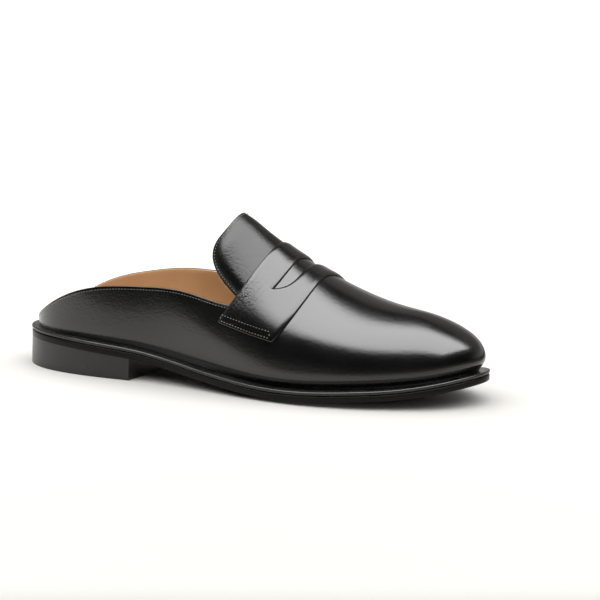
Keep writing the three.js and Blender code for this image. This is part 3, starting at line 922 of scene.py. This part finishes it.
# The strap's calf is pebbled where it bends, at the back of its lateral and medial parts
strap_calf = surface_material(
    "bent_black_calf", leather_grain, 1100,
    colours=CALF_BLACK,
    gloss=(0.19, 0.25),
    depth=0.00022,
    coat=(0.30, 0.08),
)
bend = strap_calf.node_tree.nodes.new("ShaderNodeAttribute")
bend.attribute_name = "bend"
strap_calf.node_tree.links.new(bend.outputs["Fac"], strap_calf.node_tree.nodes["Bump"].inputs["Strength"])
strap.data.materials.append(strap_calf)
spots = np.empty(len(strap.data.vertices) * 3)
strap.data.vertices.foreach_get("co", spots)
spots = spots.reshape(-1, 3) - PLACE
back_line = np.interp(spots[:, 2], [0.040, 0.055, 0.070, 0.086], [0.147, 0.158, 0.166, 0.170])
away = (spots[:, 0] - back_line) ** 2 + (spots[:, 2] - BEND_HEIGHT) ** 2
bent = BEND_LEAST + (1 - BEND_LEAST) * np.exp(-away / BEND_WIDTH ** 2)
strap.data.attributes.new("bend", "FLOAT", "POINT").data.foreach_set("value", bent)

# Stitches
# Waxed dark linen thread, coloured a lighter grey as a painted highlight, about twelve stitches to the inch,
# sunk into
# the leather: one row just inside the tongue's edge, one under each topline, and a narrow box that holds down
# each foot of the strap.
STITCH_PITCH = 0.0021
STITCH_LENGTH = 0.00100
THREAD = 0.00045
ROW_IN = 0.0015
BOX_RISES = (0.0012, 0.0047)


def stitch_row(points, normals, lift):
    """Stitches along a path, a pitch apart: each a capsule of six sides, its ends sunk, laid on the chord
    between two holes."""
    steps = np.linalg.norm(np.diff(points, axis=0), axis=1)
    run = np.concatenate([[0], np.cumsum(steps)])
    count = max(int(run[-1] / STITCH_PITCH), 1)
    gap = run[-1] / count
    middle = (np.arange(count) + 0.5) * gap

    def at(values, place):
        return np.stack([np.interp(place, run, values[:, i]) for i in range(3)], axis=1)

    centre = at(points, middle)
    up = at(normals, middle)
    up /= np.linalg.norm(up, axis=1, keepdims=True)
    along = at(points, middle + 0.4 * gap) - at(points, middle - 0.4 * gap)
    along /= np.linalg.norm(along, axis=1, keepdims=True)
    aside = np.cross(up, along)
    stations = np.array([-0.5, -0.42, -0.22, 0.0, 0.22, 0.42, 0.5])
    girth = np.array([0.15, 0.7, 0.98, 1.0, 0.98, 0.7, 0.15])
    height = np.array([-0.9, -0.3, 0.1, 0.2, 0.1, -0.3, -0.9]) * THREAD / 2
    turn = np.arange(6) / 6 * 2 * math.pi
    local = np.stack([
        np.repeat(stations * STITCH_LENGTH, 6),
        (girth[:, None] * np.cos(turn) * THREAD / 2).ravel(),
        (girth[:, None] * np.sin(turn) * THREAD / 2 + height[:, None]).ravel() + lift,
    ], axis=1)
    frame_axes = np.stack([along, aside, up], axis=1)
    cloud = centre[:, None] + np.einsum("pk,skd->spd", local, frame_axes)
    ring = np.arange(6)
    ring_next = (ring + 1) % 6
    quads = np.vstack([np.stack([k * 6 + ring, k * 6 + ring_next, k * 6 + 6 + ring_next, k * 6 + 6 + ring], 1)
                       for k in range(len(stations) - 1)])
    caps = np.array([[5, 4, 3, 2], [5, 2, 1, 0]])
    far = caps[:, ::-1] + 6 * (len(stations) - 1)
    one = np.vstack([quads, caps, far])
    every = (one[None] + (np.arange(count) * len(local))[:, None, None]).reshape(-1, 4)
    return cloud.reshape(-1, 3), every


def stitch_piece(name, rows, material, slot):
    """One mesh of several rows of stitches."""
    points = []
    quads = []
    start = 0
    for cloud, faces in rows:
        points.append(cloud)
        quads.append(faces + start)
        start += len(cloud)
    piece = mesh_piece(name, np.vstack(points), np.vstack(quads), np.zeros((0, 3), int), slot=slot)
    piece.data.materials.append(material)
    return piece


def inside_edge(points, normals, inset):
    """A path moved aside within the surface by inset, to the left of its own way."""
    along = np.gradient(points, axis=0)
    aside = np.cross(normals, along)
    aside /= np.linalg.norm(aside, axis=1, keepdims=True)
    return points + aside * inset


# Dark thread given a lighter grey colour: painted highlight of the light its wax catches
thread_painted_highlight = surface_material(
    "waxed_thread_painted_highlight", leather_grain, 3000,
    colours=((0.10, 0.10, 0.10), (0.28, 0.275, 0.27)),
    gloss=(0.45, 0.6),
    depth=0.00003,
)
turn, hoop = tongue_edge(np.linspace(0.012, 0.988, 600))
tongue_path = tongue_surface(hoop, angle_at_turn(turn, *throat_angles))
rise = 0.8 * TONGUE_CURL[0] * (1 - (1 - ROW_IN / TONGUE_CURL[1]) ** 2)
rows = [stitch_row(inside_edge(*tongue_path, -ROW_IN), tongue_path[1], rise)]
for side in ("lateral", "medial"):
    hoop = throat * np.linspace(0.02, 1.0, 500)
    angle = topline_angle(hoop, side, ROW_IN)
    path = surface_frames(hoop, angle if side == "lateral" else 180 - angle)
    rows.append(stitch_row(*path, 0.0))
stitch_piece("topline_stitches", rows, thread_painted_highlight, "black_calf")

# The box at each foot of the strap: two rows along it, closed by a short one at each end
box_ends = (STRAP_BACK_FOOT + ROW_IN, STRAP_FRONT_FOOT - ROW_IN)
box_rows = [(np.linspace(*box_ends, 200), rise) for rise in BOX_RISES]
box_rows += [(x, np.linspace(*BOX_RISES, 20)) for x in box_ends]
rows = []
for mirror in (False, True):
    for x, rise in box_rows:
        angle = angle_at_rise(hoop_at(x), strap_foot(x) + rise)
        points, normals = surface_frames(hoop_at(x) + 0 * rise, 180 - angle if mirror else angle)
        rows.append(stitch_row(points, normals, STRAP_HEIGHT))
stitch_piece("strap_stitches", rows, thread_painted_highlight, "black_calf")

# Floor, light and camera
# A plain white studio sweep with a large soft box overhead and a darker room behind the camera.
FLOOR_HALF = 12.0
floor_mesh = bpy.data.meshes.new("studio_floor")
corners = [(-1, -1), (1, -1), (1, 1), (-1, 1)]
floor_mesh.from_pydata([(x * FLOOR_HALF, y * FLOOR_HALF, 0) for x, y in corners], [], [(0, 1, 2, 3)])
floor = bpy.data.objects.new("studio_floor", floor_mesh)
bpy.context.scene.collection.objects.link(floor)

BOX_PLACE = (0.25, -0.45, 1.2)
BOX_SIZE = (3.0, 2.6)
BOX_REACH = 1.75
FLOOR_WHITE = (0.50, 0.495, 0.485)
FLOOR_GLOW = (0.97, 0.955, 0.93)
CAMERA_AZIMUTH = math.radians(28)
TABLE_FRONT = (0.45, 0.60)
TABLE_RIGHT = (0.42, 0.60)
# Where the floor turns dark for glossy rays only: painted shade in the polish
POLISH_SHADE_FRONT = (0.09, 0.22)
POLISH_SHADE_RIGHT = (0.15, 0.27)
# Oval round the shoe where the floor's glow fades out: painted shadow
SHOE_OVAL = (0.138, 0.052)
SHOE_SHADE = (0.7, 1.6)


def ramp(tree, value, low, high, first, last):
    """A smooth ramp of a value from first at low to last at high."""
    node = tree.nodes.new("ShaderNodeMapRange")
    node.interpolation_type = "SMOOTHSTEP"
    for socket, number in zip(node.inputs[1:5], (low, high, first, last)):
        socket.default_value = number
    tree.links.new(value, node.inputs[0])
    return node.outputs[0]


def along(tree, vector, way):
    """How far a vector reaches along a way: their dot product."""
    node = tree.nodes.new("ShaderNodeVectorMath")
    node.operation = "DOT_PRODUCT"
    node.inputs[1].default_value = way
    tree.links.new(vector, node.inputs[0])
    return node.outputs["Value"]


# The floor glows by what the soft box no longer gives it further out: 1 - 1 / (1 + (distance / reach)^2)^2.
# Towards the camera, below the picture, and to the right the white tabletop ends and the dark room begins.
# Seen in the polish the floor turns dark nearer to the shoe: painted shade in the reflections, not on the
# floor itself.
floor_material = bpy.data.materials.new("white_sweep")
floor_material.use_nodes = True
tree = floor_material.node_tree
floor_shader = tree.nodes["Principled BSDF"]
floor_shader.inputs["Roughness"].default_value = 0.7
floor_shader.inputs["Specular IOR Level"].default_value = 0.1
place = tree.nodes.new("ShaderNodeTexCoord")
away = tree.nodes.new("ShaderNodeVectorMath")
away.operation = "DISTANCE"
away.inputs[1].default_value = (BOX_PLACE[0], BOX_PLACE[1], 0)
tree.links.new(place.outputs["Object"], away.inputs[0])
share = math_node(tree, "POWER", math_node(tree, "DIVIDE", away.outputs["Value"], BOX_REACH), 2.0)
lost = math_node(tree, "SUBTRACT", 1.0, math_node(tree, "POWER", math_node(tree, "ADD", share, 1.0), -2.0))
camera_way = (math.sin(CAMERA_AZIMUTH), -math.cos(CAMERA_AZIMUTH), 0)
right_way = (math.cos(CAMERA_AZIMUTH), math.sin(CAMERA_AZIMUTH), 0)
# Glossy rays see the floor dark close to the shoe, in front and to the right: painted shade in the polish
mirrored = tree.nodes.new("ShaderNodeLightPath").outputs["Is Glossy Ray"]
table_ends_and_polish_shade = ((camera_way, TABLE_FRONT, POLISH_SHADE_FRONT), (right_way, TABLE_RIGHT, POLISH_SHADE_RIGHT))
white = []
for way, seen, painted_polish_shade in table_ends_and_polish_shade:
    reach = along(tree, place.outputs["Object"], way)
    either = tree.nodes.new("ShaderNodeMix")
    tree.links.new(mirrored, either.inputs[0])
    tree.links.new(ramp(tree, reach, *seen, 1.0, 0.0), either.inputs[2])
    tree.links.new(ramp(tree, reach, *painted_polish_shade, 1.0, 0.0), either.inputs[3])
    white.append(either.outputs[0])
table_and_polish_shade = math_node(tree, "MULTIPLY", white[0], white[1])
tint = tree.nodes.new("ShaderNodeMix")
tint.data_type = "RGBA"
tint.inputs[6].default_value = (0.03, 0.03, 0.03, 1)
tint.inputs[7].default_value = (*FLOOR_WHITE, 1)
tree.links.new(table_and_polish_shade, tint.inputs[0])
tree.links.new(tint.outputs[2], floor_shader.inputs["Base Color"])
floor_shader.inputs["Emission Color"].default_value = (*FLOOR_GLOW, 1)
# Under the shoe, within about its own outline, there is no such glow, which paints a shadow there
oval = tree.nodes.new("ShaderNodeVectorMath")
oval.operation = "MULTIPLY"
oval.inputs[1].default_value = (1 / SHOE_OVAL[0], 1 / SHOE_OVAL[1], 0)
tree.links.new(place.outputs["Object"], oval.inputs[0])
from_shoe = tree.nodes.new("ShaderNodeVectorMath")
from_shoe.operation = "LENGTH"
tree.links.new(oval.outputs["Vector"], from_shoe.inputs[0])
glow = math_node(tree, "MULTIPLY", lost, table_and_polish_shade)
glow = math_node(tree, "MULTIPLY", glow, ramp(tree, from_shoe.outputs["Value"], *SHOE_SHADE, 0.0, 1.0))
tree.links.new(glow, floor_shader.inputs["Emission Strength"])
floor.data.materials.append(floor_material)

# The room: dark behind the camera, a lit white wall low down on the far side and a duller one above it
ROOM_DARK = 0.012
WALL_LIGHT = 0.55
FAR_WAY = (-0.47, 0.88, 0.0)
world = bpy.data.worlds.new("studio_room")
world.use_nodes = True
tree = world.node_tree
way = tree.nodes.new("ShaderNodeTexCoord").outputs["Generated"]
far = ramp(tree, along(tree, way, FAR_WAY), -0.35, 0.35, 0.0, WALL_LIGHT)
height = along(tree, way, (0, 0, 1))
wall = math_node(tree, "MULTIPLY", far, ramp(tree, height, 0.16, 0.34, 1.0, 0.5))
wall = math_node(tree, "MULTIPLY", wall, ramp(tree, height, 0.75, 0.9, 1.0, 0.0))
tree.links.new(math_node(tree, "ADD", wall, ROOM_DARK), tree.nodes["Background"].inputs["Strength"])
tree.nodes["Background"].inputs["Color"].default_value = (1.0, 0.97, 0.93, 1)
bpy.context.scene.world = world
bpy.context.scene.view_settings.view_transform = "Standard"

# The overhead soft box: a bright face for the polish to mirror, and under it the light it gives
BOX_FACE = 8.0
# Soft edges of its face: a way across it, where the ramp starts and ends, and the ramp's two values
FACE_EDGES = (
    ((0, 1, 0), -1.55, -0.8, 0.0, BOX_FACE),
    ((-0.35, 1, 0), 0.10, 0.42, 1.0, 0.0),
    ((1, 0, 0), -1.25, -0.85, 0.0, 1.0),
    ((1, 0, 0), 1.45, 1.75, 1.0, 0.0),
)
BOX_LIGHT = 1.5
ROOM_LIGHT = 1.15
face_mesh = bpy.data.meshes.new("soft_box_face")
face_corners = [
    (BOX_PLACE[0] + x * BOX_SIZE[0] / 2, BOX_PLACE[1] + y * BOX_SIZE[1] / 2, BOX_PLACE[2]) for x, y in corners
]
face_mesh.from_pydata(face_corners, [], [(3, 2, 1, 0)])
face_material = bpy.data.materials.new("soft_box_face")
face_material.use_nodes = True
face_tree = face_material.node_tree
face_glow = face_tree.nodes.new("ShaderNodeEmission")
spot = face_tree.nodes.new("ShaderNodeTexCoord").outputs["Object"]
glow = 1.0
for way, *ends in FACE_EDGES:
    glow = math_node(face_tree, "MULTIPLY", glow, ramp(face_tree, along(face_tree, spot, way), *ends))
face_tree.links.new(glow, face_glow.inputs["Strength"])
face_tree.links.new(face_glow.outputs[0], face_tree.nodes["Material Output"].inputs["Surface"])
face_mesh.materials.append(face_material)
face = bpy.data.objects.new("soft_box_face", face_mesh)
face.visible_diffuse = False
face.visible_shadow = False
face.visible_camera = False
bpy.context.scene.collection.objects.link(face)


def overhead_lamp(name, radiance, size, location, colour):
    """A level rectangular lamp that lights matt surfaces only: power = radiance pi area."""
    light = bpy.data.lights.new(name, "AREA")
    light.shape = "RECTANGLE"
    light.size, light.size_y = size
    light.energy = radiance * math.pi * size[0] * size[1]
    light.color = colour
    lamp = bpy.data.objects.new(name, light)
    lamp.location = location
    lamp.visible_glossy = False
    bpy.context.scene.collection.objects.link(lamp)


under_box = (BOX_PLACE[0], BOX_PLACE[1], BOX_PLACE[2] - 0.02)
overhead_lamp("soft_box_light", BOX_LIGHT, BOX_SIZE, under_box, (1, 1, 1))
overhead_lamp("room_light", ROOM_LIGHT, (9.0, 9.0), (0, 0, 2.4), (1.0, 0.97, 0.92))

CAMERA_HEIGHT = math.radians(10.3)
CAMERA_DISTANCE = 1.95
CAMERA_TARGET = np.array([0.0324, 0.0, 0.0515])
CAMERA_LENS = 199.4
camera_data = bpy.data.cameras.new("camera")
camera_data.lens = CAMERA_LENS
camera_data.sensor_width = 36
camera_data.clip_start = 0.1
camera_data.clip_end = 100
camera = bpy.data.objects.new("camera", camera_data)
bpy.context.scene.collection.objects.link(camera)
back = np.array([
    math.sin(CAMERA_AZIMUTH) * math.cos(CAMERA_HEIGHT),
    -math.cos(CAMERA_AZIMUTH) * math.cos(CAMERA_HEIGHT),
    math.sin(CAMERA_HEIGHT),
])
camera.location = CAMERA_TARGET + back * CAMERA_DISTANCE
camera.rotation_euler = (math.pi / 2 - CAMERA_HEIGHT, 0, CAMERA_AZIMUTH)
bpy.context.scene.camera = camera
